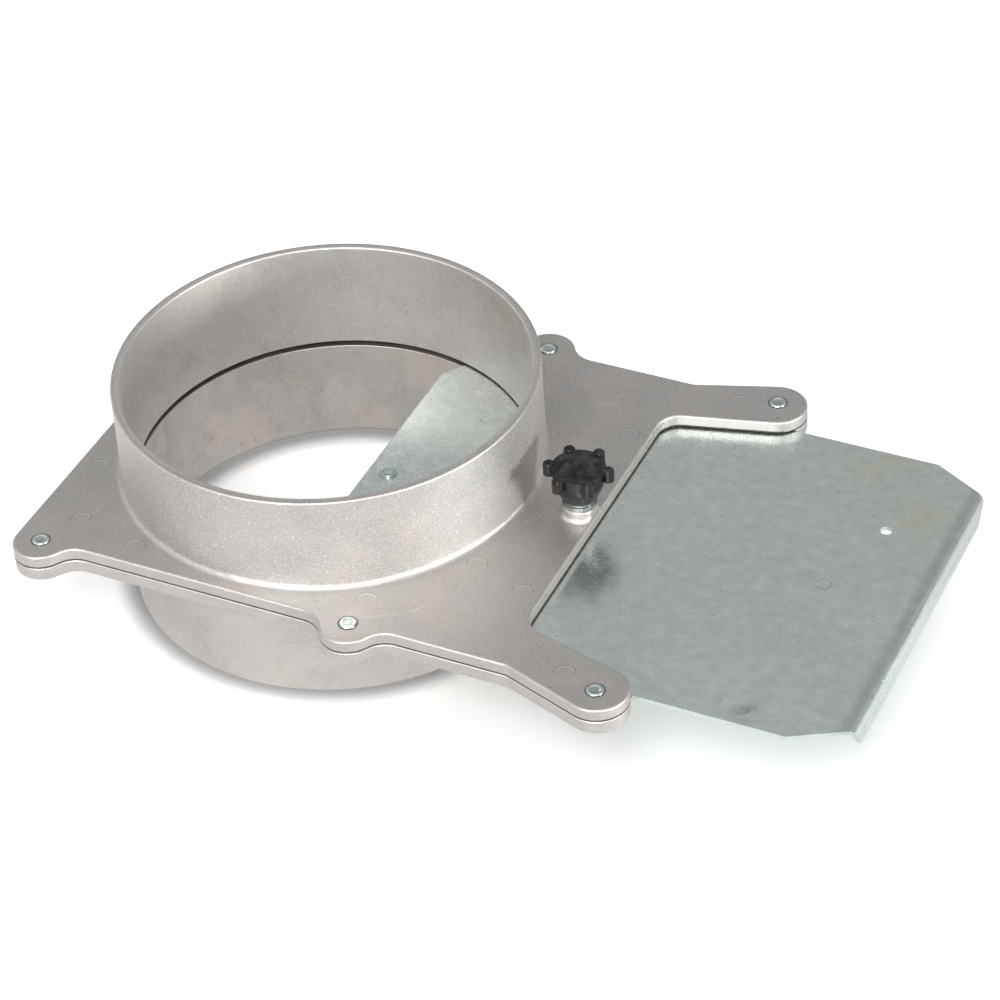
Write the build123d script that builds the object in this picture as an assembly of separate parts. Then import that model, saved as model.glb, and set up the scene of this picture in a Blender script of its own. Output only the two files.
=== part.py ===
from build123d import *
import os
from math import asin, atan2, cos, degrees, hypot, radians, sin, sqrt, tan

# Blast gate for 6 inch dust and air duct: two die-cast halves riveted together, a sheet gate that slides
# between them, and a knob that locks it. Millimetres, +Z up. The origin is on the duct axis at the lower rim,
# and the gate slides along X.

# Duct collars, alike on both castings
rim_radius = 76.2
rim_wall = 3.2
rim_edge = 0.7
collar_height = 37.2
land_length = 14.0  # straight outside next to the rim, where the duct seats
outer_draft = 1.2  # degrees, outside between the land and the plate
inner_draft = 2.1  # degrees, inside, narrowing towards the gate
collar_fillet = 2.0

# Plates
upper_floor = 4.5  # plate over the recess for the sheet
lower_floor = 3.7  # plate under it
upper_rail = 0.6  # how far the upper casting's border reaches down beside the sheet
plate_edge = 0.8
parting_depth = 0.8  # open seam round the edge, under the upper casting
parting_rise = 0.25
seam_edge = 0.4  # bevel on the lower casting's edge below the seam
side_rail = 6.4
end_rail = 6.5
notch_gap = 6.2  # from the lock screw to the plate's edge between the fingers
notch_corner = 8.5
finger_cover = 14.2  # how far each finger covers the sheet at the notch
finger_bend = 2.8  # where the outside of a finger turns in, past the notch's edge
finger_bend_radius = 6.0
finger_length = 35.5  # from the notch's edge to the centre of a finger's round tip
tip_radius = 11.1

# Lobes for the rivets
rivet_outset = 0.4  # rivet centres outside the straight rail
mid_rivet_inset = 55.6  # back from the notch's edge
lobe_radius = 10.0
neck_radius = 10.0

# Gate sheet
gate_thickness = 1.5
gate_rest_x = 13.5  # leading edge as the gate stands, partly closed
gate_side_clearance = 0.4
gate_play = 0.6  # the recess is this much deeper than the sheet
gate_lift = 0.1  # of that, under the sheet
gate_end_clearance = 0.5
side_overlap = 4.1  # how far the sheet reaches past the bore on each side
seal_overlap = 5.0  # how far the closed gate reaches past the bore
handle_reach = 29.8  # how far the closed gate stands out past the notch's edge
nose_chamfer_x = 10.8
nose_chamfer_y = 15.3
tail_chamfer_x = 20.5
tail_chamfer_y = 11.1
flange_height = 10.0
flange_corner = 5.0
bend_radius = 1.2
hang_hole_radius = 2.15
hang_hole_inset_x = 25.4
hang_hole_y = 34.5

# Rivets through the castings
shank_radius = 1.95
head_radius = 3.05
head_height = 1.05
head_rounding = 0.6
seat_radius = 3.55
seat_depth = 0.5
tail_radius = 2.9
tail_height = 0.9
tail_bevel = 0.4
shank_clearance = 0.05

# Rivets in the gate
stop_shank_radius = 1.6
stop_head_radius = 2.7
stop_head_height = 1.1
stop_rounding = 0.5
stop_tail_radius = 2.3
stop_tail_height = 0.6
stop_gap = 0.1  # left between the stop's head and the bore wall at either end
flush_radius = 2.5
flush_sink = 0.5
flush_inset_x = 35.6

# Lock screw, boss and knob
boss_gap = 20.0  # from the collar's foot to the lock screw
boss_radius = 6.3
boss_height = 4.3
boss_fillet = 2.0
thread_radius = 3.0
thread_clearance = 0.05
tip_clearance = 0.25  # screw tip above the gate, with the knob just loosened
tip_chamfer = 0.8
washer_radius = 6.2
washer_thickness = 1.6
washer_hole_radius = 3.25
washer_lift = 0.3  # washer above the boss, with the knob just loosened
shoulder_radius = 5.9
shoulder_height = 1.2
insert_flats = 9.0
insert_height = 4.0
knob_height = 13.7
knob_foot_radius = 6.4
knob_body_radius = 9.0
knob_flare_height = 6.2
cap_radius = 9.6
cap_height = 3.0
cap_edge = 0.9
cap_dome = 1.0
lobe_count = 6
knob_lobe_radius = 2.1
knob_lobe_circle = 10.55
knob_lobe_height = 4.9
knob_lobe_inset = 0.4  # lobe tops below the cap's
knob_lobe_edge = 0.6
knob_foot_edge = 0.7
knob_turn = 11.0  # degrees, how the lobes stand at rest

# Worked out
gate_gap = gate_thickness + gate_play
recess_z = collar_height + lower_floor
gate_z = recess_z + gate_lift
upper_z = recess_z + gate_gap
parting_z = upper_z - upper_rail
face_z = upper_z + upper_floor
throat_radius = rim_radius - rim_wall - (collar_height + upper_floor) * tan(radians(inner_draft))
root_radius = rim_radius + (collar_height - land_length) * tan(radians(outer_draft))
gate_half_width = throat_radius + side_overlap
recess_half_width = gate_half_width + gate_side_clearance
rail_y = recess_half_width + side_rail
rivet_y = rail_y + rivet_outset
recess_end_x = throat_radius + seal_overlap + gate_end_clearance
plate_end_x = recess_end_x + end_rail
boss_x = root_radius + boss_gap
notch_x = boss_x + notch_gap
notch_half_width = gate_half_width - finger_cover
finger_bend_x = notch_x + finger_bend
tip_x = notch_x + finger_length
mid_rivet_x = notch_x - mid_rivet_inset
corner_rivet_x = lobe_radius - plate_end_x
tip_y = rivet_y + lobe_radius - tip_radius
finger_end_x = tip_x + tip_radius
rivet_xs = [corner_rivet_x, mid_rivet_x, tip_x]
gate_length = throat_radius + seal_overlap + notch_x + handle_reach
gate_end_x = gate_rest_x + gate_length
flange_half_width = gate_half_width - tail_chamfer_y
stop_x = gate_rest_x + seal_overlap + stop_head_radius + stop_gap
flush_x = gate_end_x - flush_inset_x
boss_top_z = face_z + boss_height
washer_z = boss_top_z + washer_lift
shoulder_z = washer_z + washer_thickness
knob_z = shoulder_z + shoulder_height


def arc(centre, radius, start, end):
    """Arc about a centre, from one angle to another in degrees."""
    def at(angle):
        return (centre[0] + radius * cos(radians(angle)), centre[1] + radius * sin(radians(angle)))

    return ThreePointArc(at(start), at((start + end) / 2), at(end))


def tangent_point(point, centre, radius, side):
    """Where a line from a point touches a circle, passing on the given side of its centre."""
    dx, dy = centre[0] - point[0], centre[1] - point[1]
    distance = hypot(dx, dy)
    angle = atan2(dy, dx) + side * asin(radius / distance)
    reach = sqrt(distance**2 - radius**2)
    return point[0] + reach * cos(angle), point[1] + reach * sin(angle)


def lobe_edges(x, first):
    """Round lobe about a rivet, with a hollow neck towards the straight rail on each open side."""
    neck_y = rail_y + neck_radius
    rise = neck_y - rivet_y
    reach = sqrt((lobe_radius + neck_radius) ** 2 - rise**2)
    lean = degrees(atan2(rise, reach))
    edges = [arc((x, rivet_y), lobe_radius, 180 if first else 180 - lean, lean)]
    edges.append(arc((x + reach, neck_y), neck_radius, 180 + lean, 270))
    if not first:
        edges.append(arc((x - reach, neck_y), neck_radius, 270, 360 - lean))
    return edges, reach


def plate_outline():
    """Outline that both castings share: six lobes, two fingers and the open notch between them."""
    corner, reach = lobe_edges(corner_rivet_x, True)
    middle, _ = lobe_edges(mid_rivet_x, False)
    rail = Line((corner_rivet_x + reach, rail_y), (mid_rivet_x - reach, rail_y))
    bend = (finger_bend_x, rail_y)
    tip = (tip_x, tip_y)
    outer = tangent_point(bend, tip, tip_radius, 1)
    inner = tangent_point((notch_x, notch_half_width), tip, tip_radius, -1)
    finger = FilletPolyline((mid_rivet_x + reach, rail_y), bend, outer, radius=[finger_bend_radius])
    start = degrees(atan2(outer[1] - tip_y, outer[0] - tip_x))
    end = degrees(atan2(inner[1] - tip_y, inner[0] - tip_x))
    half = corner + middle + [rail] + list(finger.edges()) + [arc(tip, tip_radius, start, end)]
    notch = FilletPolyline(
        inner,
        (notch_x, notch_half_width),
        (notch_x, -notch_half_width),
        (inner[0], -inner[1]),
        radius=[notch_corner, notch_corner],
    )
    left = Line((-plate_end_x, -rivet_y), (-plate_end_x, rivet_y))
    mirrored = [mirror(edge, about=Plane.XZ) for edge in half]
    return make_face(half + mirrored + list(notch.edges()) + [left])


def turned(points, radii):
    """Solid turned about Z from a profile whose corners have the given radii."""
    profile = make_face(FilletPolyline(*points, radius=radii, close=True).edges())
    return revolve(Plane.XZ * profile, Axis.Z)


def collar_ring(floor):
    """Collar and the plate's ring under it, standing on the gate side of a plate with that floor."""
    rim_z = floor + collar_height
    points = [
        (throat_radius, 0),
        (rim_radius - rim_wall, rim_z),
        (rim_radius, rim_z),
        (rim_radius, rim_z - land_length),
        (root_radius, floor),
        (root_radius + collar_fillet, floor),
        (root_radius + collar_fillet, 0),
    ]
    return turned(points, [rim_edge / 2, rim_edge, rim_edge, 0, collar_fillet, 0, 0])


def rivet_places():
    return [(x, side * rivet_y) for x in rivet_xs for side in (1, -1)]


def half_casting(floor, rail, seam_depth, seam_rise):
    """One casting: its floor's gate side is at z = 0, and its border reaches down beside the sheet by rail."""
    plate = Pos(0, 0, -rail) * extrude(plate_outline(), floor + rail)
    plate = fillet(plate.faces().sort_by(Axis.Z)[-1].edges(), plate_edge)
    seam = plate.faces().sort_by(Axis.Z)[0]
    plate = chamfer(seam.edges(), seam_depth, seam_rise, reference=seam)
    plate -= Pos(0, 0, -rail) * extrude(Circle(root_radius), floor + rail)
    casting = plate - Pos(0, 0, -gate_gap) * gate_recess() + collar_ring(floor)
    for x, y in rivet_places():
        hole = extrude(Circle(shank_radius + shank_clearance), floor + rail)
        casting -= Pos(x, y, -rail) * hole
    return casting


def gate_recess():
    """Space for the sheet, closed at the far end and open between the fingers."""
    back, front = -recess_end_x, finger_end_x
    side = recess_half_width
    points = [
        (front, -side),
        (front, side),
        (back + nose_chamfer_x, side),
        (back, side - nose_chamfer_y),
        (back, nose_chamfer_y - side),
        (back + nose_chamfer_x, -side),
    ]
    return extrude(make_face(Polyline(*points, close=True).edges()), gate_gap)


def lock_boss():
    """Round boss for the lock screw. Its front is flat beside the notch's edge."""
    foot = boss_radius + boss_fillet + rim_edge
    top = upper_floor + boss_height
    points = [(0, 0), (foot, 0), (foot, upper_floor), (boss_radius, upper_floor), (boss_radius, top), (0, top)]
    boss = Pos(boss_x, 0, 0) * turned(points, [0, 0, 0, boss_fillet, rim_edge, 0])
    front = notch_x - plate_edge
    block = 2 * foot
    return boss - Pos(front + block / 2, 0, 0) * Box(block, 2 * block, 4 * block)


def upper_casting():
    casting = half_casting(upper_floor, upper_rail, parting_depth, parting_rise) + lock_boss()
    casting -= Pos(boss_x, 0, 0) * extrude(Circle(thread_radius), upper_floor + boss_height)
    for x, y in rivet_places():
        casting -= Pos(x, y, upper_floor - seat_depth) * extrude(Circle(seat_radius), seat_depth)
    return Pos(0, 0, upper_z) * casting


def lower_casting():
    casting = half_casting(lower_floor, gate_gap - upper_rail, seam_edge, seam_edge)
    return Pos(0, 0, recess_z) * mirror(casting, about=Plane.XY)


def casting_rivets():
    """Six rivets, each with its domed head in a seat on the upper plate and its tail under the lower one."""
    seat_z = face_z - seat_depth
    under_z = collar_height
    points = [
        (0, under_z - tail_height),
        (tail_radius - tail_bevel, under_z - tail_height),
        (tail_radius, under_z - tail_height + tail_bevel),
        (tail_radius, under_z),
        (shank_radius, under_z),
        (shank_radius, seat_z),
        (head_radius, seat_z),
        (head_radius, seat_z + head_height),
        (0, seat_z + head_height),
    ]
    rivet = turned(points, [0, 0, 0, 0, 0, 0, 0, head_rounding, 0])
    return Compound(children=[Pos(x, y, 0) * rivet for x, y in rivet_places()])


def gate_sheet():
    """Flat sheet with chamfered corners, and a handle flange bent down at its outer end."""
    top, bottom = gate_z + gate_thickness, gate_z
    inside_x = gate_end_x - gate_thickness
    points = [
        (gate_rest_x, bottom),
        (gate_rest_x, top),
        (gate_end_x, top),
        (gate_end_x, top - flange_height),
        (inside_x, top - flange_height),
        (inside_x, bottom),
    ]
    radii = [0, 0, bend_radius + gate_thickness, 0, 0, bend_radius]
    profile = make_face(FilletPolyline(*points, radius=radii, close=True).edges())
    sheet = extrude(Plane.XZ * profile, gate_half_width, both=True)
    side, flange = gate_half_width, flange_half_width
    half = [
        (gate_end_x, flange),
        (gate_end_x - tail_chamfer_x, side),
        (gate_rest_x + nose_chamfer_x, side),
        (gate_rest_x, side - nose_chamfer_y),
    ]
    plan = half + [(x, -y) for x, y in reversed(half)]
    blank = Pos(0, 0, top - flange_height) * extrude(
        make_face(Polyline(*plan, close=True).edges()), flange_height
    )
    sheet &= blank
    bend_z = top - gate_thickness - bend_radius
    foot_z = top - flange_height
    corner = [
        (flange, bend_z),
        (side, bend_z),
        (side, foot_z - gate_thickness),
        (flange - flange_corner, foot_z - gate_thickness),
        (flange - flange_corner, foot_z),
    ]
    wedge = extrude(Plane.YZ * make_face(Polyline(*corner, close=True).edges()), gate_end_x)
    sheet -= wedge
    sheet -= mirror(wedge, about=Plane.XZ)
    hole = Circle(hang_hole_radius)
    sheet -= Pos(gate_end_x - hang_hole_inset_x, hang_hole_y, bottom) * extrude(hole, gate_thickness)
    sheet -= Pos(stop_x, 0, bottom) * extrude(Circle(stop_shank_radius), gate_thickness)
    return sheet - flush_rivet()


def stop_rivet():
    """Rivet near the leading edge. Its head and tail stop against the bore wall, open and closed."""
    top, bottom = gate_z + gate_thickness, gate_z
    points = [
        (0, bottom - stop_tail_height),
        (stop_tail_radius, bottom - stop_tail_height),
        (stop_tail_radius, bottom),
        (stop_shank_radius, bottom),
        (stop_shank_radius, top),
        (stop_head_radius, top),
        (stop_head_radius, top + stop_head_height),
        (0, top + stop_head_height),
    ]
    return Pos(stop_x, 0, 0) * turned(points, [0, 0, 0, 0, 0, 0, stop_rounding, 0])


def flush_rivet():
    """Rivet that is level with both faces of the sheet, so that it passes under the plate."""
    waist = flush_radius - flush_sink
    points = [
        (0, gate_z),
        (flush_radius, gate_z),
        (waist, gate_z + flush_sink),
        (waist, gate_z + gate_thickness - flush_sink),
        (flush_radius, gate_z + gate_thickness),
        (0, gate_z + gate_thickness),
    ]
    profile = make_face(Polyline(*points, close=True).edges())
    return Pos(flush_x, 0, 0) * revolve(Plane.XZ * profile, Axis.Z)


def lock_washer():
    ring = Circle(washer_radius) - Circle(washer_hole_radius)
    return Pos(boss_x, 0, washer_z) * extrude(ring, washer_thickness)


def lock_screw():
    """Threaded stud with a round shoulder on the washer and a hexagonal end moulded into the knob."""
    radius = thread_radius - thread_clearance
    tip_z = gate_z + gate_thickness + tip_clearance
    stem = extrude(Circle(radius), shoulder_z - tip_z)
    stem = Pos(0, 0, tip_z) * chamfer(stem.faces().sort_by(Axis.Z)[0].edges(), tip_chamfer)
    shoulder = Pos(0, 0, shoulder_z) * extrude(Circle(shoulder_radius), shoulder_height)
    return Pos(boss_x, 0, 0) * (stem + shoulder + screw_insert())


def screw_insert():
    flats = RegularPolygon(insert_flats / 2, 6, major_radius=False)
    return Pos(0, 0, knob_z) * extrude(flats, insert_height)


def lock_knob():
    """Knob with a tapered foot, six lobes and a domed cap, moulded round the end of the screw."""
    cap_z = knob_height - cap_height
    points = [
        (0, 0),
        (knob_foot_radius, 0),
        (knob_body_radius, knob_flare_height),
        (knob_body_radius, cap_z),
        (cap_radius, cap_z),
        (cap_radius, knob_height),
        (0, knob_height),
    ]
    body = turned(points, [0, knob_foot_edge, knob_flare_height, 0, 0, cap_edge, 0])
    sphere_radius = (cap_radius**2 + cap_dome**2) / (2 * cap_dome)
    body &= Pos(0, 0, knob_height - sphere_radius) * Sphere(sphere_radius)
    lobe_z = knob_height - knob_lobe_inset - knob_lobe_height
    lobe = extrude(Circle(knob_lobe_radius), knob_lobe_height)
    lobe = chamfer(lobe.faces().sort_by(Axis.Z)[-1].edges(), knob_lobe_edge)
    for index in range(lobe_count):
        turn = Rot(0, 0, knob_turn + index * 360 / lobe_count)
        body += turn * Pos(knob_lobe_circle, 0, lobe_z) * lobe
    return Pos(boss_x, 0, 0) * (Pos(0, 0, knob_z) * body - screw_insert())


parts = {
    "upper_casting": upper_casting(),
    "lower_casting": lower_casting(),
    "casting_rivets": casting_rivets(),
    "gate_sheet": gate_sheet(),
    "stop_rivet": stop_rivet(),
    "flush_rivet": flush_rivet(),
    "lock_washer": lock_washer(),
    "lock_screw": lock_screw(),
    "lock_knob": lock_knob(),
}

os.makedirs("parts", exist_ok=True)
for name, shape in parts.items():
    export_step(shape, f"parts/{name}.step")
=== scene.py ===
"""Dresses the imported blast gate: finishes for all its pieces, a cut thread on the lock screw, and a studio.

Lengths are metres in the frame's own coordinates: the duct runs along Z, the gate slides along X, and the
floor is z = 0.
"""

import logging
import math
from dataclasses import dataclass
from enum import Enum
from typing import Mapping, Optional, Sequence, Union

import bpy
import numpy as np
from mathutils import Matrix, Vector


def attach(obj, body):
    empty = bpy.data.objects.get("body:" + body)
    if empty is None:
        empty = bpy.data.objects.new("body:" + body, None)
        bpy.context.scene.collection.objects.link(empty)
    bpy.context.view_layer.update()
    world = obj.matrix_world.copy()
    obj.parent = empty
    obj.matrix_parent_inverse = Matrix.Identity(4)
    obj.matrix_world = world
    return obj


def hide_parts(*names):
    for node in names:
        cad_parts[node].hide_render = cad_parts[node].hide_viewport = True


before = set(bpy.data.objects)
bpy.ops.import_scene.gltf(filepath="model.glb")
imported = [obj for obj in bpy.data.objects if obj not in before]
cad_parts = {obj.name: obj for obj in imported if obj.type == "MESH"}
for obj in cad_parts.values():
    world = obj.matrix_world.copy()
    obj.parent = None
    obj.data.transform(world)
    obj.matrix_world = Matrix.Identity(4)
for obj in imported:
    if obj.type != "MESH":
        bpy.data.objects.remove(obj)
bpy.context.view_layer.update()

LOG = logging.getLogger("blast_gate")
Colour = tuple[float, float, float, float]
Point = tuple[float, float, float]
Place = tuple[float, float]


def tone(red: float, green: float, blue: float) -> Colour:
    """Returns an opaque colour from its linear parts."""
    return (red, green, blue, 1.0)


class Value:
    """One socket of a node in a Python expression: each operator on it adds a Math node."""

    def __init__(self, graph: "Graph", socket: bpy.types.NodeSocket) -> None:
        """Keeps the socket and the graph that its nodes go into."""
        self.graph = graph
        self.socket = socket

    def math(self, operation: str, *operands: "Operand") -> "Value":
        """Returns the result of one Math node.

        Args:
            operation: the node's operation, such as ADD.
            operands: its inputs in order, each a value or a number.

        Returns:
            The node's output.
        """
        return self.graph.node("ShaderNodeMath", {"operation": operation}, dict(enumerate(operands)))

    def __add__(self, other: "Operand") -> "Value":
        """Returns self + other."""
        return self.math("ADD", self, other)

    __radd__ = __add__

    def __sub__(self, other: "Operand") -> "Value":
        """Returns self - other."""
        return self.math("SUBTRACT", self, other)

    def __rsub__(self, other: "Operand") -> "Value":
        """Returns other - self."""
        return self.math("SUBTRACT", other, self)

    def __mul__(self, other: "Operand") -> "Value":
        """Returns self * other."""
        return self.math("MULTIPLY", self, other)

    __rmul__ = __mul__

    def __pow__(self, other: "Operand") -> "Value":
        """Returns self ** other."""
        return self.math("POWER", self, other)

    def __abs__(self) -> "Value":
        """Returns the size of self without its sign."""
        return self.math("ABSOLUTE", self)

    def least(self, other: "Operand") -> "Value":
        """Returns the smaller of the two."""
        return self.math("MINIMUM", self, other)

    def most(self, other: "Operand") -> "Value":
        """Returns the larger of the two."""
        return self.math("MAXIMUM", self, other)

    def rise(self, low: float, high: float) -> "Value":
        """Returns 0 below low, 1 above high and a smooth step between; with low above high it falls.

        Args:
            low: where the step starts.
            high: where it ends.

        Returns:
            The step, from 0 to 1.
        """
        settings = {"interpolation_type": "SMOOTHSTEP"}
        return self.graph.node("ShaderNodeMapRange", settings, {0: self, 1: low, 2: high})

    def line(self, middle: float, outer: float, inner: float) -> "Value":
        """Returns 1 where self is within inner of middle, and falls smoothly to 0 where it is outer away.

        Args:
            middle: the value on the line.
            outer: how far from the middle the line has ended.
            inner: how far from the middle it is still full.

        Returns:
            The line, from 0 to 1.
        """
        return abs(self - middle).rise(outer, inner)


Operand = Union[Value, float]
Socket = Union[Value, float, Sequence[float]]


def layered(base: Operand, *layers: tuple[Value, float]) -> Value:
    """Adds patterns to a base, each about its own middle.

    Args:
        base: what is left where every pattern is at 0.5.
        layers: each pattern, from 0 to 1, and how much all of it changes the sum.

    Returns:
        The sum.
    """
    total = base
    for pattern, share in layers:
        total = (pattern - 0.5) * share + total
    return total


class Graph:
    """The node tree of one material or world, which is written as expressions."""

    def __init__(self, tree: bpy.types.NodeTree) -> None:
        """Takes over a tree and empties it."""
        tree.nodes.clear()
        self.tree = tree
        self.place = self.node("ShaderNodeTexCoord", out="Object")

    def node(
        self,
        kind: str,
        settings: Optional[Mapping[str, object]] = None,
        sockets: Optional[Mapping[Union[int, str], Socket]] = None,
        out: Union[int, str, None] = 0,
    ) -> Value:
        """Adds one node of any type.

        Args:
            kind: the node's type.
            settings: its properties, set first.
            sockets: values or links for its inputs, by name or number.
            out: the output that is wanted, or None for a node without one.

        Returns:
            The wanted output as a value.
        """
        made = self.tree.nodes.new(kind)
        for name, value in (settings or {}).items():
            setattr(made, name, value)
        for key, value in (sockets or {}).items():
            if isinstance(value, Value):
                self.tree.links.new(value.socket, made.inputs[key])
            else:
                made.inputs[key].default_value = value
        return Value(self, made.inputs[0] if out is None else made.outputs[out])

    def axes(self) -> tuple[Value, Value, Value]:
        """Returns the object's own x, y and z."""
        parts = self.node("ShaderNodeSeparateXYZ", sockets={0: self.place}).socket.node
        return tuple(Value(self, parts.outputs[index]) for index in range(3))

    def scaled(self, scale: Point, place: Point = (0.0, 0.0, 0.0)) -> Value:
        """Returns the object's coordinates times scale, moved by place, for a stretched pattern."""
        return self.node("ShaderNodeMapping", sockets={0: self.place, 1: place, 3: scale})

    def noise(
        self,
        scale: float,
        detail: float = 3.0,
        rough: float = 0.55,
        warp: float = 0.0,
        where: Optional[Value] = None,
    ) -> Value:
        """Returns a cloudy pattern from 0 to 1.

        Args:
            scale: features per metre.
            detail: finer layers.
            rough: strength of the finer layers.
            warp: how far the pattern is distorted.
            where: coordinates, the object's own if none are given.

        Returns:
            The pattern.
        """
        shape = {"Scale": scale, "Detail": detail, "Roughness": rough, "Distortion": warp}
        return self.node("ShaderNodeTexNoise", sockets={0: where or self.place, **shape})

    def cells(self, scale: float, where: Optional[Value] = None) -> Value:
        """Returns how far each point is from the middle of its cell, in a pattern of uneven cells.

        Args:
            scale: cells per metre.
            where: coordinates, the object's own if none are given.

        Returns:
            The distance, in cells.
        """
        return self.node("ShaderNodeTexVoronoi", sockets={0: where or self.place, "Scale": scale})

    def apart(self, where: Value, point: Point) -> Value:
        """Returns the distance between coordinates and one point."""
        return self.node("ShaderNodeVectorMath", {"operation": "DISTANCE"}, {0: where, 1: point}, out="Value")

    def nearest(self, places: Sequence[Place], moved: Place = (0.0, 0.0)) -> Value:
        """Measures how far each point is from the nearest of some upright axes.

        Args:
            places: x and y of the axes on the side of positive y, which have mirror images on the other side.
            moved: how far all of them are moved together.

        Returns:
            The distance.
        """
        x, y, _ = self.axes()
        folded = self.joined(x - moved[0], abs(y - moved[1]), 0.0)
        found: Operand = 1.0
        for place in places:
            found = self.apart(folded, (*place, 0.0)).least(found)
        return found

    def joined(self, x: Operand, y: Operand, z: Operand) -> Value:
        """Returns three values joined to coordinates."""
        return self.node("ShaderNodeCombineXYZ", sockets={0: x, 1: y, 2: z})

    def blend(self, factor: Operand, first: Socket, second: Socket) -> Value:
        """Returns the mix of two colours.

        Args:
            factor: 0 for the first colour, 1 for the second.
            first: the first colour.
            second: the second colour.

        Returns:
            The mixed colour.
        """
        settings = {"data_type": "RGBA", "clamp_result": True}
        return self.node("ShaderNodeMix", settings, {0: factor, 6: first, 7: second}, out=2)

    def relief(self, height: Value, depth: float, under: Optional[Value] = None) -> Value:
        """Returns a normal that follows a height.

        Args:
            height: the height, from 0 to 1.
            depth: how high 1 stands, in metres.
            under: a normal that this relief goes over.

        Returns:
            The bent normal.
        """
        sockets = {"Height": height, "Distance": depth, "Strength": 1.0}
        if under:
            sockets["Normal"] = under
        return self.node("ShaderNodeBump", sockets=sockets)

    def seen(self) -> tuple[Value, Value]:
        """Finds what the camera sees: straight, and in all, with what is mirrored or refracted.

        Returns:
            1 for straight views, and 1 for all views, each 0 for other light.
        """
        path = self.node("ShaderNodeLightPath").socket.node
        names = ("Is Camera Ray", "Is Glossy Ray", "Is Transmission Ray")
        camera, glossy, through = (Value(self, path.outputs[name]) for name in names)
        return camera, (camera + glossy + through).least(1.0)

    def added(self, shader: Value, kind: str, sockets: Mapping[str, Socket]) -> Value:
        """Returns the sum of a shader and a new one of some type."""
        return self.node("ShaderNodeAddShader", sockets={0: shader, 1: self.node(kind, sockets=sockets)})

    def finish(self, sockets: Mapping[str, Socket]) -> None:
        """Ends a material with one Principled shader that takes these sockets."""
        shader = self.node("ShaderNodeBsdfPrincipled", sockets=sockets)
        self.node("ShaderNodeOutputMaterial", sockets={0: shader}, out=None)


def new_graph(name: str) -> tuple[bpy.types.Material, Graph]:
    """Returns a new material and its empty graph."""
    material = bpy.data.materials.new(name)
    material.use_nodes = True
    return material, Graph(material.node_tree)


def dress(obj: bpy.types.Object, material: bpy.types.Material) -> None:
    """Gives an object one material in all its slots.

    Args:
        obj: the object.
        material: its finish.
    """
    if not obj.material_slots:
        obj.data.materials.append(material)
    for slot in obj.material_slots:
        slot.material = material


def surface(name: str, points: np.ndarray) -> bpy.types.Object:
    """Makes a smooth object from a grid of points whose columns close into a ring.

    Face (i, j) joins rows i and i + 1 at columns j and j + 1, where the last column is followed by the first.
    Each end row is closed by a fan to its mean point.

    Args:
        name: the object's name.
        points: an array of rows, columns and three coordinates.

    Returns:
        The linked object.
    """
    rows, columns = points.shape[:2]
    vertices = np.vstack([points.reshape(-1, 3), points[0].mean(0), points[-1].mean(0)])
    i, j = np.meshgrid(np.arange(rows - 1), np.arange(columns), indexing="ij")
    k = (j + 1) % columns
    quads = np.stack([i * columns + j, i * columns + k, (i + 1) * columns + k, (i + 1) * columns + j], -1)
    ring = np.arange(columns)
    after = (ring + 1) % columns
    first, last = rows * columns, rows * columns + 1
    low = np.stack([np.full(columns, first), after, ring], -1)
    high = np.stack([np.full(columns, last), ring + (rows - 1) * columns, after + (rows - 1) * columns], -1)
    faces = quads.reshape(-1, 4).tolist() + low.tolist() + high.tolist()
    mesh = bpy.data.meshes.new(name)
    mesh.from_pydata(vertices.tolist(), [], faces)
    mesh.polygons.foreach_set("use_smooth", np.ones(len(mesh.polygons), bool))
    mesh.update()
    made = bpy.data.objects.new(name, mesh)
    bpy.context.scene.collection.objects.link(made)
    return made


class CastingSide(Enum):
    """Which of the two castings a finish is for."""

    UPPER = "upper"
    LOWER = "lower"


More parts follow.
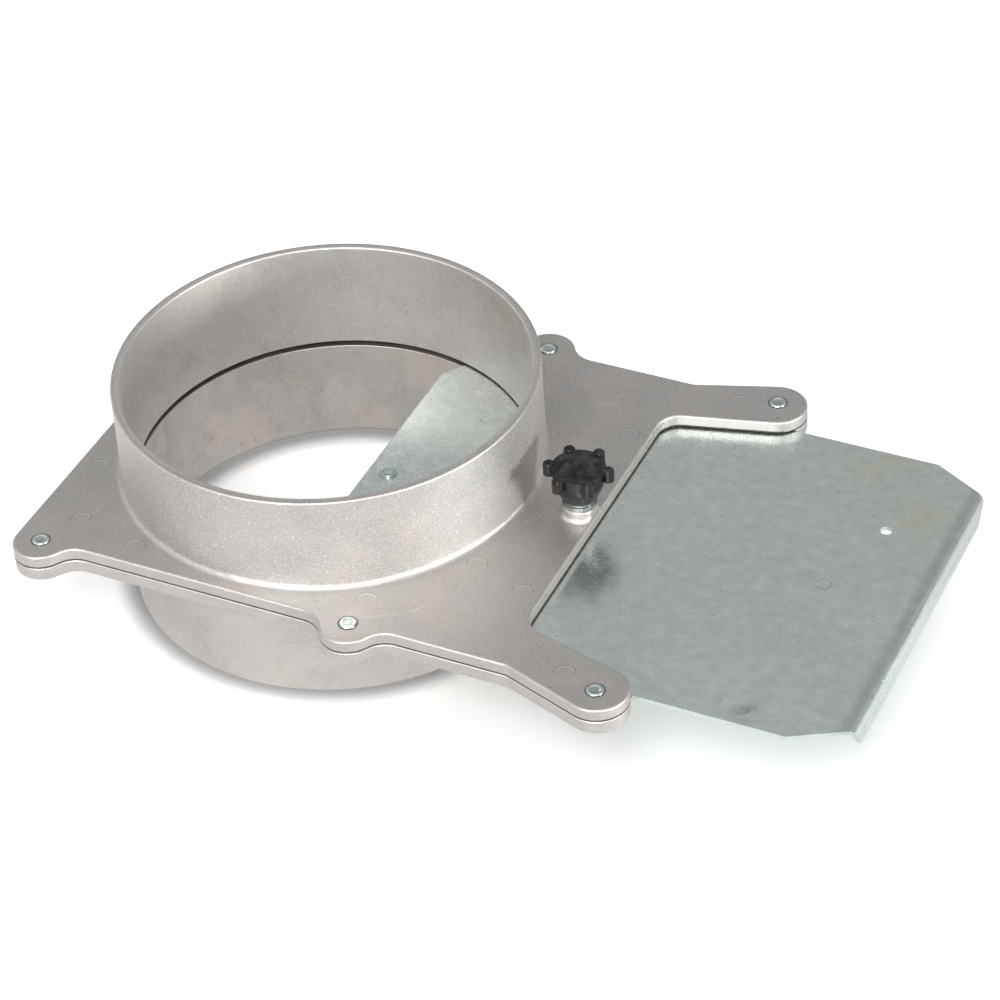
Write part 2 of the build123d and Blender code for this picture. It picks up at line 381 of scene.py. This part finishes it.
@dataclass(frozen=True)
class CastAluminium:
    """Cast aluminium, blasted to a fine sparkling grain, with stains of the mould, painted shade in its
    joints and painted light at its pin marks.
    """

    side: CastingSide
    light: Colour = tone(0.66, 0.64, 0.623)
    dark: Colour = tone(0.405, 0.39, 0.377)
    warm: Colour = tone(0.70, 0.625, 0.58)
    # The colour of the grains' sparkle and of the scratches, and of the pin marks' painted highlight.
    sparkle_and_painted_highlight: Colour = tone(0.95, 0.935, 0.92)
    stain: Colour = tone(0.27, 0.235, 0.20)
    # The dark colour of the specks, and of the painted shade in the joints and at the pin marks.
    dirt_and_painted_shade: Colour = tone(0.05, 0.044, 0.04)
    wall_middle: float = 0.0746
    face: float = 0.0475
    seam: float = 0.0424
    notch: tuple[float, float] = (0.102886, 0.061371)
    notch_slope: float = 0.25
    soft_edge: float = 0.0004
    grain_scale: float = 2500.0
    pebble_scale: float = 1050.0
    speck_scale: float = 650.0
    pit_scale: float = 620.0
    stain_scale: float = 70.0
    patch_scale: float = 42.0
    cloud_scale: float = 30.0
    relief_depth: float = 0.00006
    roughness: float = 0.50
    pin_radius: float = 0.0031
    pin_lean: Place = (0.0003, -0.00095)
    seat_radius: float = 0.0033
    pins: tuple[Place, ...] = ()
    rivets: tuple[Place, ...] = ()
    scratches: tuple[tuple[float, float, float, float], ...] = ()

    def pin_marks_painted_light(self, graph: Graph) -> tuple[Value, Value]:
        """Draws the ejector pins' shallow round marks as a painted highlight and painted shade, on their far
        side alone.

        A mark's painted highlight is an arc within 0.1 mm of the pin's circle, and its painted shade is a
        dark arc round it. Both fade where the distance to the same pin, moved a millimetre nearer, is no
        longer larger than its radius.

        Args:
            graph: the graph to draw in.

        Returns:
            The painted highlight and the painted shade, each an arc from 0 to 1.
        """
        radius = self.pin_radius
        circle = graph.nearest(self.pins)
        far = graph.nearest(self.pins, self.pin_lean).rise(radius + 0.0002, radius + 0.0007)
        painted_highlight = circle.line(radius, 0.00030, 0.00010) * far
        return painted_highlight, circle.line(radius + 0.00045, 0.00028, 0.00008) * far

    def scratch_marks(self, x: Value, y: Value) -> Value:
        """Draws the plate's few straight scratches.

        A scratch is 1 on the line between its two ends and falls to 0 within 0.2 mm: the distance to the line
        is the offset across it plus the distance past its ends.

        Args:
            x: the object's own x.
            y: the object's own y.

        Returns:
            The scratches, from 0 to 1.
        """
        total: Operand = 0.0
        for x0, y0, x1, y1 in self.scratches:
            length = math.hypot(x1 - x0, y1 - y0)
            ux, uy = (x1 - x0) / length, (y1 - y0) / length
            from_x, from_y = x - (x0 + x1) / 2, y - (y0 + y1) / 2
            along = from_x * ux + from_y * uy
            across = from_y * ux - from_x * uy
            past = (abs(along) - length / 2).most(0.0)
            total = (abs(across) + past).rise(0.00022, 0.00004).most(total)
        return total

    def stains(self, graph: Graph, inside: Value) -> tuple[Value, Value]:
        """Draws the skin's warm patches and its groups of dark specks, both stronger inside the duct.

        Args:
            graph: the graph to draw in.
            inside: 1 on the inside of the duct.

        Returns:
            The patches and the specks, each from 0 to 1.
        """
        patch = graph.noise(self.patch_scale, rough=0.6, warp=0.8).rise(0.42, 0.64)
        groups = graph.noise(self.stain_scale, rough=0.65, warp=0.4).rise(0.44, 0.72)
        speck = graph.noise(self.speck_scale, rough=0.6).rise(0.40, 0.70) * 0.8 + 0.35
        if self.side is CastingSide.UPPER:
            return patch * (inside * 0.2 + 0.4), groups * speck * (inside * 0.08 + 0.04)
        return patch * (inside * 0.45 + 0.4), groups * speck * (inside * 0.14 + 0.28)

    def painted_joint_shade(self, graph: Graph, x: Value, y: Value, z: Value) -> Value:
        """Draws painted shade in the joints: the seam, the foot of the notch's wall and the rivets' seats,
        and faintly the notch's wall.

        Args:
            graph: the graph to draw in.
            x: the object's own x.
            y: the object's own y.
            z: the object's own z.

        Returns:
            The painted shade, from 0 to 1.
        """
        # All of this is painted shade: in the seam's gap, at the foot of the notch's wall, in the rivets'
        # seats and faintly on the notch's wall.
        seam = z.rise(self.seam + 0.0010, self.seam + 0.0008)
        end, half = self.notch
        sideways = abs(y) - (x - end) * self.notch_slope
        in_notch = x.rise(end - 0.0010, end - 0.0004) * sideways.rise(half + 0.0010, half + 0.0005)
        foot = z.rise(self.seam + 0.0014, self.seam + 0.0011) * in_notch
        seats = graph.nearest(self.rivets).line(self.seat_radius, 0.00042, 0.00012)
        wall = z.rise(self.face - 0.0004, self.face - 0.0009) * in_notch
        return seam.most(foot).most(seats * 0.6).most(wall * 0.1)

    def material(self) -> bpy.types.Material:
        """Builds the finish.

        Returns:
            The material.
        """
        material, graph = new_graph(f"cast_aluminium_{self.side.value}")
        x, y, z = graph.axes()
        upper = self.side is CastingSide.UPPER
        radius = (x * x + y * y) ** 0.5
        outside = radius.rise(self.wall_middle - self.soft_edge, self.wall_middle + self.soft_edge)
        inside = 1.0 - outside
        low, high = (0.0012, 0.0002) if upper else (-0.0012, 0.0)
        plate = z.rise(self.face + low, self.face + high)
        rough_skin = outside * (1.0 - plate)
        grain = graph.noise(self.grain_scale, detail=2.0, rough=0.6)
        pebble = graph.noise(self.pebble_scale, detail=2.0, rough=0.5)
        cloud = graph.noise(self.cloud_scale, rough=0.6, warp=0.4)
        pit = graph.noise(self.pit_scale, detail=1.0).rise(0.70, 0.78)
        shine = inside * 0.30 + rough_skin * 0.65 + 0.35 if upper else inside * 0.35 + 0.12
        base = inside * 0.40 + 0.50 if upper else 0.58
        level = layered(base, (cloud, 0.45), (pebble, 0.35), (grain, 1.2)) - pit * 0.22
        patch, specks = self.stains(graph, inside)
        colour = graph.blend(level, self.dark, self.light)
        colour = graph.blend(patch * 0.55, colour, self.warm)
        colour = graph.blend(grain.rise(0.56, 0.68) * shine * 0.7, colour, self.sparkle_and_painted_highlight)
        colour = graph.blend(specks * 0.8, colour, self.stain)
        height = grain * (0.45 + rough_skin * 0.55) + pebble * (0.35 + rough_skin * 0.35)
        relief = graph.relief(height, self.relief_depth)
        stains_and_painted_shade = specks
        if upper:
            flat = plate * outside
            # The pin marks: a painted highlight on their far arc and painted shade just outside it.
            painted_highlight, shade = self.pin_marks_painted_light(graph)
            # The scratches are mixed with the pin marks' painted highlight.
            scratches = self.scratch_marks(x, y).most(painted_highlight) * flat
            # The real dark specks, joined with the painted shade in the joints.
            stains_and_painted_shade = specks.most(self.painted_joint_shade(graph, x, y, z))
            colour = graph.blend(shade * flat * 0.35, colour, self.dirt_and_painted_shade)
            bare = cloud.rise(0.30, 0.60) * 0.35 + 0.25
            colour = graph.blend(scratches * bare, colour, self.sparkle_and_painted_highlight)
            colour = graph.blend(stains_and_painted_shade * 0.9, colour, self.dirt_and_painted_shade)
        rough = layered(stains_and_painted_shade * 0.20 + self.roughness, (grain, 0.22))
        metal = 1.0 - stains_and_painted_shade * 0.5
        graph.finish({"Base Color": colour, "Metallic": metal, "Roughness": rough, "Normal": relief})
        return material


@dataclass(frozen=True)
class GalvanisedSheet:
    """Rolled galvanised sheet, bluish and satin, with faint mottle, pits, streaks, one yellowish patch and
    painted shade.
    """

    light: Colour = tone(0.84, 0.91, 0.875)
    dark: Colour = tone(0.60, 0.67, 0.645)
    # The dark colour of the pits and ticks, and of the painted shade at the bend, round the rivets and along
    # the nose.
    pit: Colour = tone(0.12, 0.14, 0.135)
    patch: Colour = tone(0.78, 0.78, 0.60)
    patch_ends: tuple[Point, Point] = ((0.1845, 0.0666, 0.0425), (0.2076, 0.0452, 0.0425))
    smear: Point = (0.1857, -0.0695, 0.0425)
    bend: float = 0.2190
    bend_end: float = 0.2204
    # Each rivet is x, y, its head's radius and how dark the painted shade round it is.
    rivets: tuple[tuple[float, float, float, float], ...] = (
        (0.18706, 0.0, 0.0025, 0.5),
        (0.0213, 0.0, 0.0029, 0.9),
    )
    nose: float = 0.0135
    cloud_scale: float = 38.0
    mottle_scale: float = 230.0
    crystal_scale: float = 2400.0
    rub_scale: float = 160.0
    pit_scale: float = 230.0
    cluster_scale: float = 62.0
    lane_scale: float = 60.0
    streaked: Point = (1700.0, 22.0, 1700.0)
    ticked: Point = (150.0, 420.0, 150.0)
    rolled: Point = (90.0, 900.0, 90.0)
    relief_depth: float = 0.00005
    pit_depth: float = 0.00008
    roughness: float = 0.27
    metallic: float = 0.95

    def patch_stains_and_painted_shade(self, graph: Graph, x: Value) -> tuple[Value, Value]:
        """Draws the yellowish patch and the darker places, which are partly painted shade.

        These are a smear and the flange's streaks, and painted shade at the bend, round the rivets and along
        the nose's edge.

        Args:
            graph: the graph to draw in.
            x: the object's own x.

        Returns:
            The patch, and the darker places with their painted shade, each from 0 to 1.
        """
        rub = graph.noise(self.rub_scale, rough=0.6, warp=0.5)
        first, second = (graph.apart(graph.place, end).rise(0.019, 0.003) for end in self.patch_ends)
        patch = first.most(second) * rub.rise(0.32, 0.62)
        smear = graph.apart(graph.place, self.smear).rise(0.0065, 0.001) * rub.rise(0.42, 0.56)
        past_bend = x.rise(self.bend_end, self.bend_end + 0.0010)
        # Painted shade at the bend.
        bend_painted_shade = x.rise(self.bend - 0.0030, self.bend) * (1.0 - past_bend)
        streak = graph.noise(1.0, detail=2.0, where=graph.scaled(self.streaked)).rise(0.40, 0.62)
        # Painted shade along the nose's edge and in a ring round each rivet.
        painted_ring_and_edge_shade: Operand = x.rise(self.nose + 0.0006, self.nose + 0.0002) * 0.7
        for rx, ry, radius, dark in self.rivets:
            ring = graph.nearest(((rx, ry),)).line(radius + 0.0002, 0.00045, 0.00015)
            painted_ring_and_edge_shade = (ring * dark).most(painted_ring_and_edge_shade)
        stains_and_painted_shade = smear * 0.8 + bend_painted_shade * 0.40 + past_bend * streak * 0.35 + painted_ring_and_edge_shade * 0.8
        return patch, stains_and_painted_shade.least(1.0)

    def marks(self, graph: Graph) -> Value:
        """Draws clusters of small round pits and short dark ticks.

        Args:
            graph: the graph to draw in.

        Returns:
            The marks, from 0 to 1.
        """
        clusters = graph.noise(self.cluster_scale, detail=1.0).rise(0.45, 0.56)
        spots = graph.cells(self.pit_scale).rise(0.105, 0.06) * clusters
        moved = graph.scaled((1.0, 1.0, 1.0), (0.5, 0.2, 0.1))
        lanes = graph.noise(self.lane_scale, detail=1.0, where=moved).rise(0.50, 0.56)
        ticks = graph.cells(1.0, where=graph.scaled(self.ticked, (3.1, 1.7, 0.0))).rise(0.10, 0.05)
        return (spots + ticks * lanes).least(1.0)

    def material(self) -> bpy.types.Material:
        """Builds the finish.

        Returns:
            The material.
        """
        material, graph = new_graph("galvanised_sheet")
        x, _, _ = graph.axes()
        cloud = graph.noise(self.cloud_scale, detail=4.0, rough=0.62, warp=0.5)
        mottle = graph.noise(self.mottle_scale, rough=0.6)
        rolled = graph.noise(1.0, rough=0.6, where=graph.scaled(self.rolled))
        crystal = graph.noise(self.crystal_scale, detail=1.0)
        level = layered(0.53, (cloud, 0.45), (mottle, 0.9), (rolled, 0.35), (crystal, 0.35))
        colour = graph.blend(level, self.dark, self.light)
        patch, stains_and_painted_shade = self.patch_stains_and_painted_shade(graph, x)
        marks = self.marks(graph)
        colour = graph.blend(patch * 0.6, colour, self.patch)
        # Painted shade, the smear and streaks, and the real pits and ticks, all towards the dark pit colour.
        colour = graph.blend((stains_and_painted_shade * 0.6).most(marks * 0.6), colour, self.pit)
        relief = graph.relief(mottle * 0.6 + crystal * 0.15, self.relief_depth)
        relief = graph.relief(1.0 - marks, self.pit_depth, relief)
        rough = layered(marks * 0.15 + self.roughness, (mottle, 0.16), (crystal, 0.10))
        sockets = {"Base Color": colour, "Metallic": self.metallic, "Roughness": rough, "Normal": relief}
        graph.finish(sockets)
        return material


@dataclass(frozen=True)
class ZincPlate:
    """Bright zinc plate with a little tarnish, on heads that are dished and may have a dark groove of painted
    shade.
    """

    name: str
    light: Colour = tone(0.84, 0.90, 0.885)
    dark: Colour = tone(0.42, 0.50, 0.49)
    dish: Colour = tone(0.50, 0.60, 0.58)
    # The dark colour of the groove's painted shade.
    groove: Colour = tone(0.10, 0.12, 0.115)
    roughness: float = 0.22
    tarnish_scale: float = 420.0
    fine_scale: float = 2400.0
    relief_depth: float = 0.00008
    heads: tuple[Place, ...] = ()
    dish_radius: float = 0.0017
    dish_depth: float = 0.00025
    groove_radius: float = 0.0

    def material(self) -> bpy.types.Material:
        """Builds the finish.

        Returns:
            The material.
        """
        material, graph = new_graph(self.name)
        tarnish = graph.noise(self.tarnish_scale, rough=0.6)
        fine = graph.noise(self.fine_scale, detail=2.0)
        colour = graph.blend(layered(0.66, (tarnish, 1.5), (fine, 0.4)), self.dark, self.light)
        relief = graph.relief(tarnish * 0.7 + fine * 0.3, self.relief_depth)
        if self.heads:
            rim = graph.nearest(self.heads).rise(self.dish_radius - 0.0004, self.dish_radius + 0.0003)
            colour = graph.blend((1.0 - rim) * 0.55, colour, self.dish)
            relief = graph.relief(rim, self.dish_depth, relief)
        if self.groove_radius:
            # Painted shade of a groove, as a dark ring round the dish.
            ring = graph.nearest(self.heads).line(self.groove_radius, 0.00032, 0.00012)
            colour = graph.blend(ring * 0.8, colour, self.groove)
        rough = layered(self.roughness, (tarnish, 0.25))
        graph.finish({"Base Color": colour, "Metallic": 1.0, "Roughness": rough, "Normal": relief})
        return material


@dataclass(frozen=True)
class BlackPlastic:
    """Black moulded plastic with a soft shine, fine moulded texture and dust that has settled on its top."""

    deep: Colour = tone(0.010, 0.0095, 0.009)
    dusty: Colour = tone(0.062, 0.056, 0.052)
    fleck: Colour = tone(0.20, 0.19, 0.18)
    top: float = 0.0678
    dust_depth: float = 0.0012
    dust_scale: float = 300.0
    fine_scale: float = 1900.0
    fleck_scale: float = 520.0
    group_scale: float = 240.0
    relief_depth: float = 0.00005
    roughness: float = 0.24
    mirrored: float = 0.18
    coat_roughness: float = 0.06

    def material(self) -> bpy.types.Material:
        """Builds the finish.

        Returns:
            The material.
        """
        material, graph = new_graph("black_plastic")
        _, _, z = graph.axes()
        settled = z.rise(self.top - self.dust_depth, self.top)
        dust = graph.noise(self.dust_scale, detail=4.0, rough=0.65)
        fine = graph.noise(self.fine_scale, detail=2.0)
        groups = graph.noise(self.group_scale, detail=1.0).rise(0.50, 0.58)
        flecks = graph.cells(self.fleck_scale).rise(0.13, 0.07) * groups
        colour = graph.blend(dust.rise(0.36, 0.72) * (0.35 + settled * 0.65), self.deep, self.dusty)
        colour = graph.blend(flecks * 0.5, colour, self.fleck)
        relief = graph.relief(dust * 0.5 + fine * 0.5, self.relief_depth)
        rough = dust * 0.18 + settled * 0.10 + self.roughness
        coat = {"Coat Weight": 0.30 - settled * 0.18, "Coat Roughness": self.coat_roughness}
        sockets = {"Base Color": colour, "Roughness": rough, "Normal": relief}
        graph.finish({**sockets, **coat, "Specular IOR Level": self.mirrored})
        return material


@dataclass
class Castings:
    """The two castings and the six rivets that join them."""

    pin_circle: float = 0.0843
    pin_angles: tuple[float, ...] = (27.3, 55.5, 119.0, 152.6)
    loose_pins: tuple[Place, ...] = ((-0.066, 0.0676), (0.0955, 0.0463), (0.1255, 0.0785))
    scratches: tuple[tuple[float, float, float, float], ...] = (
        (-0.0648, -0.0647, -0.0619, -0.0606),
        (0.0499, -0.0788, 0.0639, -0.0706),
        (0.0639, -0.0706, 0.0677, -0.0652),
        (0.0238, -0.0802, 0.0256, -0.0784),
        (0.0768, 0.0559, 0.0808, 0.0601),
        (0.0814, 0.0597, 0.0838, 0.0622),
        (0.0828, 0.0647, 0.0850, 0.0697),
    )
    rivet_places: tuple[Place, ...] = ((-0.07347, 0.08277), (0.04729, 0.08277), (0.13839, 0.08277))
    lower_face: float = 0.0372

    def pins(self) -> tuple[Place, ...]:
        """Returns where the mould's ejector pins stood on one half of the plate."""
        turned = [math.radians(angle) for angle in self.pin_angles]
        on_circle = [(self.pin_circle * math.cos(a), self.pin_circle * math.sin(a)) for a in turned]
        return tuple(on_circle) + self.loose_pins

    def build(self) -> list[str]:
        """Dresses the castings and their rivets.

        Returns:
            The names of what was dressed.
        """
        marks = {"pins": self.pins(), "rivets": self.rivet_places, "scratches": self.scratches}
        upper = CastAluminium(CastingSide.UPPER, **marks)
        lower = CastAluminium(CastingSide.LOWER, face=self.lower_face)
        dress(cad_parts["upper_casting"], upper.material())
        dress(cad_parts["lower_casting"], lower.material())
        dress(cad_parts["casting_rivets"], ZincPlate("rivet_zinc", heads=self.rivet_places).material())
        return ["upper_casting", "lower_casting", "casting_rivets"]


@dataclass
class Gate:
    """The sliding sheet with its two small rivets."""

    stop_place: Place = (0.0213, 0.0)
    # The radius of the painted shade ring of the stop rivet's groove.
    stop_groove: float = 0.0020
    stop_tone: Colour = tone(0.66, 0.73, 0.71)
    stop_roughness: float = 0.34

    def build(self) -> list[str]:
        """Dresses the sheet and its rivets.

        Returns:
            The names of what was dressed.
        """
        zinc = ZincPlate(
            "gate_rivet_zinc",
            light=self.stop_tone,
            roughness=self.stop_roughness,
            heads=(self.stop_place,),
            groove_radius=self.stop_groove,
        ).material()
        sheet = GalvanisedSheet().material()
        dress(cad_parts["gate_sheet"], sheet)
        dress(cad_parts["stop_rivet"], zinc)
        dress(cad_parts["flush_rivet"], sheet)
        return ["gate_sheet", "stop_rivet", "flush_rivet"]


@dataclass
class LockKnob:
    """The black knob, its washer and its screw, which gets a cut thread."""

    axis: Place = (0.096686, 0.0)
    tip: float = 0.04275
    shoulder: tuple[float, float] = (0.0537, 0.0549)
    shoulder_radius: float = 0.0059
    insert_top: float = 0.0589
    insert_flats: float = 0.0090
    insert_bevel: float = 0.0002
    crest: float = 0.00295
    pitch: float = 0.0010
    thread_depth: float = 0.00058
    tip_bevel: float = 0.0008
    edge: float = 0.00025
    crease: float = 0.00005
    zinc_light: Colour = tone(0.50, 0.535, 0.525)
    zinc_dark: Colour = tone(0.12, 0.138, 0.135)
    columns: int = 96
    rows_per_turn: int = 14

    def stem(self, turn: np.ndarray) -> tuple[np.ndarray, np.ndarray]:
        """Works out the threaded stem as a radius for each angle and height.

        The phase is the height in pitches less the angle in turns, so that the ridge climbs by one pitch a
        turn. The radius is the crest's less the depth times 2.6 |phase - 0.5| - 0.2, which is held between 0
        and 1 to leave narrow flats at the crest and the root. Near the tip it stays in the bevel's cone.

        Args:
            turn: the angles of the columns, in turns.

        Returns:
            The radii and the heights, one row for each height.
        """
        count = int((self.shoulder[0] - self.tip) / self.pitch * self.rows_per_turn)
        height = np.linspace(self.tip, self.shoulder[0] - 0.0001, count)[:, None] + 0.0 * turn
        phase = ((height - self.tip) / self.pitch - turn) % 1.0
        ridge = np.clip(np.abs(phase - 0.5) * 2.6 - 0.2, 0.0, 1.0)
        cone = self.crest - self.tip_bevel + (height - self.tip)
        return np.minimum(self.crest - self.thread_depth * ridge, cone), height

    def head(self, turn: np.ndarray) -> tuple[np.ndarray, np.ndarray]:
        """Works out the round shoulder and the hexagonal end inside the knob.

        The shoulder's rows go out, round its two edges and in again, in pairs a crease apart that keep the
        shading flat between them. The hexagon's radius is half the distance between its flats over the cosine
        of the angle from the nearest flat's middle.

        Args:
            turn: the angles of the columns, in turns.

        Returns:
            The radii and the heights, one row for each height.
        """
        low, high = self.shoulder
        out, edge, crease = self.shoulder_radius, self.edge, self.crease
        ring = [
            (self.crest - self.thread_depth, low),
            (out - edge - crease, low),
            (out - edge, low),
            (out, low + edge),
            (out, low + edge + crease),
            (out, high - edge - crease),
            (out, high - edge),
            (out - edge, high),
            (out - edge - crease, high),
        ]
        flats = self.insert_flats / 2 / np.cos(np.pi / 3 * ((turn * 6.0) % 1.0 - 0.5))
        top, bevel = self.insert_top, self.insert_bevel
        hexagon = [(flats, high), (flats, high + crease), (flats, top - bevel), (flats - bevel, top)]
        rows = [(np.full_like(turn, radius), height) for radius, height in ring] + hexagon
        radii, heights = zip(*rows)
        return np.array(radii), np.array(heights)[:, None] + 0.0 * turn

    def screw(self) -> bpy.types.Object:
        """Makes the lock screw from its stem and head, in the place of the plain one.

        A point is at the axis plus its radius times the cosine and sine of its angle, at its own height.

        Returns:
            The screw.
        """
        turn = np.arange(self.columns) / self.columns
        parts = (self.stem(turn), self.head(turn))
        radius = np.vstack([part[0] for part in parts])
        height = np.vstack([part[1] for part in parts])
        angle = 2.0 * np.pi * turn
        x = self.axis[0] + radius * np.cos(angle)
        y = self.axis[1] + radius * np.sin(angle)
        screw = surface("threaded_lock_screw", np.stack([x, y, height], -1))
        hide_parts("lock_screw")
        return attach(screw, "knob")

    def build(self) -> list[str]:
        """Makes the screw, and dresses it with the knob and the washer.

        Returns:
            The names of what was dressed.
        """
        zinc = ZincPlate("screw_zinc", light=self.zinc_light, dark=self.zinc_dark).material()
        screw = self.screw()
        dress(screw, zinc)
        dress(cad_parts["lock_washer"], zinc)
        dress(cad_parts["lock_knob"], BlackPlastic().material())
        return ["lock_knob", screw.name, "lock_washer"]


@dataclass(frozen=True)
class Lamp:
    """One soft rectangular lamp that looks at the object, placed by its heading, height and distance."""

    name: str
    heading: float
    height: float
    distance: float
    size: tuple[float, float]
    power: float
    card: bool = False
    target: Point = (0.05, 0.0, 0.05)

    def build(self) -> None:
        """Adds the lamp; a card shows in reflections alone, so that it throws no shadow on the floor."""
        light = bpy.data.lights.new(self.name, "AREA")
        light.shape = "RECTANGLE"
        light.size, light.size_y = self.size
        light.energy = self.power
        lamp = bpy.data.objects.new(self.name, light)
        lamp.visible_diffuse = not self.card
        heading, height = math.radians(self.heading), math.radians(self.height)
        level = math.cos(height)
        away = Vector((math.cos(heading) * level, math.sin(heading) * level, math.sin(height)))
        place = Vector(self.target) + away * self.distance
        aim = (-away).to_track_quat("-Z", "Y").to_matrix().to_4x4()
        lamp.matrix_world = Matrix.Translation(place) @ aim
        bpy.context.scene.collection.objects.link(lamp)


@dataclass
class Studio:
    """A white floor that keeps the shadow, with a painted shadow ring round the collar's foot, a world that
    is dimmer behind the object, lamps and the camera.
    """

    floor_half: float = 6.0
    shadow_middle: float = 0.06
    shadow_reach: tuple[float, float] = (0.32, 0.60)
    floor_tone: float = 0.86
    floor_lift: float = 0.25
    camera_gain: float = 0.66
    camera_lift: float = 0.06
    # Where and how dark the painted shadow ring round the collar's foot is.
    foot_middle: float = 0.0735
    foot_reach: tuple[float, float] = (0.0130, 0.0025)
    foot_shade: float = 0.5
    world_light: float = 0.75
    back_heading: float = 92.0
    back_rise: tuple[float, float] = (-0.35, 0.95)
    back_dim: float = 0.62
    back_floor_rise: tuple[float, float] = (0.0, 0.12)
    back_floor_dim: float = 0.85
    overhead_rise: tuple[float, float] = (0.1, 0.7)
    overhead_dim: float = 0.05
    lamps: tuple[Lamp, ...] = (
        Lamp("key_lamp", -75.0, 48.0, 1.8, (0.7, 0.5), 6.0),
        Lamp("high_card", -75.0, 50.0, 1.7, (0.7, 0.5), 7.0, card=True),
        Lamp("front_card", -92.0, 20.0, 1.5, (0.9, 0.4), 9.0, card=True),
        Lamp("right_card", -5.0, 5.0, 1.4, (0.24, 0.22), 18.0, card=True),
    )
    camera_place: Point = (0.49319568, -0.83404487, 0.80623281)
    camera_heading: float = 27.149233
    camera_tilt: float = 39.135195
    camera_roll: float = -3.750684
    camera_lens: float = 123.123574
    camera_sensor: float = 36.0

    def behind(self, x: Value, y: Value, reach: tuple[float, float]) -> Value:
        """Finds what is behind the object, seen from its lit front.

        Args:
            x: coordinate along X.
            y: coordinate along Y.
            reach: how far back the step from 0 to 1 starts and ends.

        Returns:
            0 in front and 1 behind.
        """
        heading = math.radians(self.back_heading)
        return (x * math.cos(heading) + y * math.sin(heading)).rise(*reach)

    def floor(self) -> bpy.types.Object:
        """Makes the floor: lit and shaded near the object, with a painted shadow ring round the collar's
        foot, and further out plain white to the camera.

        Returns:
            The floor.
        """
        ends = np.array([-1.0, 1.0]) * self.floor_half
        gx, gy = np.meshgrid(ends, ends)
        corners = np.stack([gx, gy, np.zeros_like(gx)], -1).reshape(-1, 3)
        mesh = bpy.data.meshes.new("floor")
        mesh.from_pydata(corners.tolist(), [], [(0, 1, 3, 2)])
        made = bpy.data.objects.new("floor", mesh)
        bpy.context.scene.collection.objects.link(made)
        material, graph = new_graph("white_floor")
        x, y, _ = graph.axes()
        camera, seen = graph.seen()
        # A painted shadow ring round the lower collar's foot: to the camera the floor is darker there and
        # gets less lift.
        foot = ((x * x + y * y) ** 0.5).line(self.foot_middle, *self.foot_reach)
        shade = (1.0 - camera * foot * self.foot_shade) * self.floor_tone
        gain = camera * self.camera_gain * (1.0 - foot)
        lift = (1.0 - self.behind(x, y, self.back_floor_rise) * self.back_floor_dim) * self.floor_lift
        strength = (seen - camera) * lift + camera * self.camera_lift
        white = tone(1.0, 1.0, 1.0)
        matt = graph.node("ShaderNodeBsdfDiffuse", sockets={"Color": shade})
        matt = graph.added(matt, "ShaderNodeBsdfDiffuse", {"Color": gain})
        near = graph.added(matt, "ShaderNodeEmission", {"Color": white, "Strength": strength})
        plain = graph.node("ShaderNodeEmission", sockets={"Color": white, "Strength": 1.0})
        off = x - self.shadow_middle
        far = ((off * off + y * y) ** 0.5).rise(*self.shadow_reach) * seen
        mixed = graph.node("ShaderNodeMixShader", sockets={0: far, 1: near, 2: plain})
        graph.node("ShaderNodeOutputMaterial", sockets={0: mixed}, out=None)
        dress(made, material)
        return made

    def world(self) -> None:
        """Makes the world: dimmer behind the object and a little overhead, and plain white to the camera."""
        world = bpy.data.worlds.new("studio")
        bpy.context.scene.world = world
        world.use_nodes = True
        graph = Graph(world.node_tree)
        x, y, height = graph.axes()
        camera, seen = graph.seen()
        overhead = 1.0 - height.rise(*self.overhead_rise) * self.overhead_dim
        dim = (1.0 - self.behind(x, y, self.back_rise) * self.back_dim) * overhead
        mirrored = seen * dim + (1.0 - seen) * self.world_light
        light = {"Color": tone(1.0, 1.0, 1.0), "Strength": camera + (1.0 - camera) * mirrored}
        back = graph.node("ShaderNodeBackground", sockets=light)
        graph.node("ShaderNodeOutputWorld", sockets={0: back}, out=None)

    def camera(self) -> None:
        """Adds the camera: turned to its heading, tilted down and rolled about its own axis."""
        data = bpy.data.cameras.new("photo_camera")
        data.sensor_width = self.camera_sensor
        data.lens = self.camera_lens
        heading = Matrix.Rotation(math.radians(self.camera_heading), 4, "Z")
        tilt = Matrix.Rotation(math.radians(90.0 - self.camera_tilt), 4, "X")
        roll = Matrix.Rotation(math.radians(self.camera_roll), 4, "Z")
        camera = bpy.data.objects.new("photo_camera", data)
        camera.matrix_world = Matrix.Translation(self.camera_place) @ heading @ tilt @ roll
        bpy.context.scene.collection.objects.link(camera)
        bpy.context.scene.camera = camera

    def build(self) -> None:
        """Builds the studio."""
        self.floor()
        self.world()
        for lamp in self.lamps:
            lamp.build()
        self.camera()
        bpy.context.scene.view_settings.view_transform = "Standard"


def main() -> None:
    """Builds every sub-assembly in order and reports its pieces."""
    logging.basicConfig(level=logging.INFO, format="%(name)s: %(message)s")
    Studio().build()
    for assembly in (Castings(), Gate(), LockKnob()):
        for piece in assembly.build():
            LOG.info("%s: %s", type(assembly).__name__, piece)


if __name__ == "__main__":
    main()
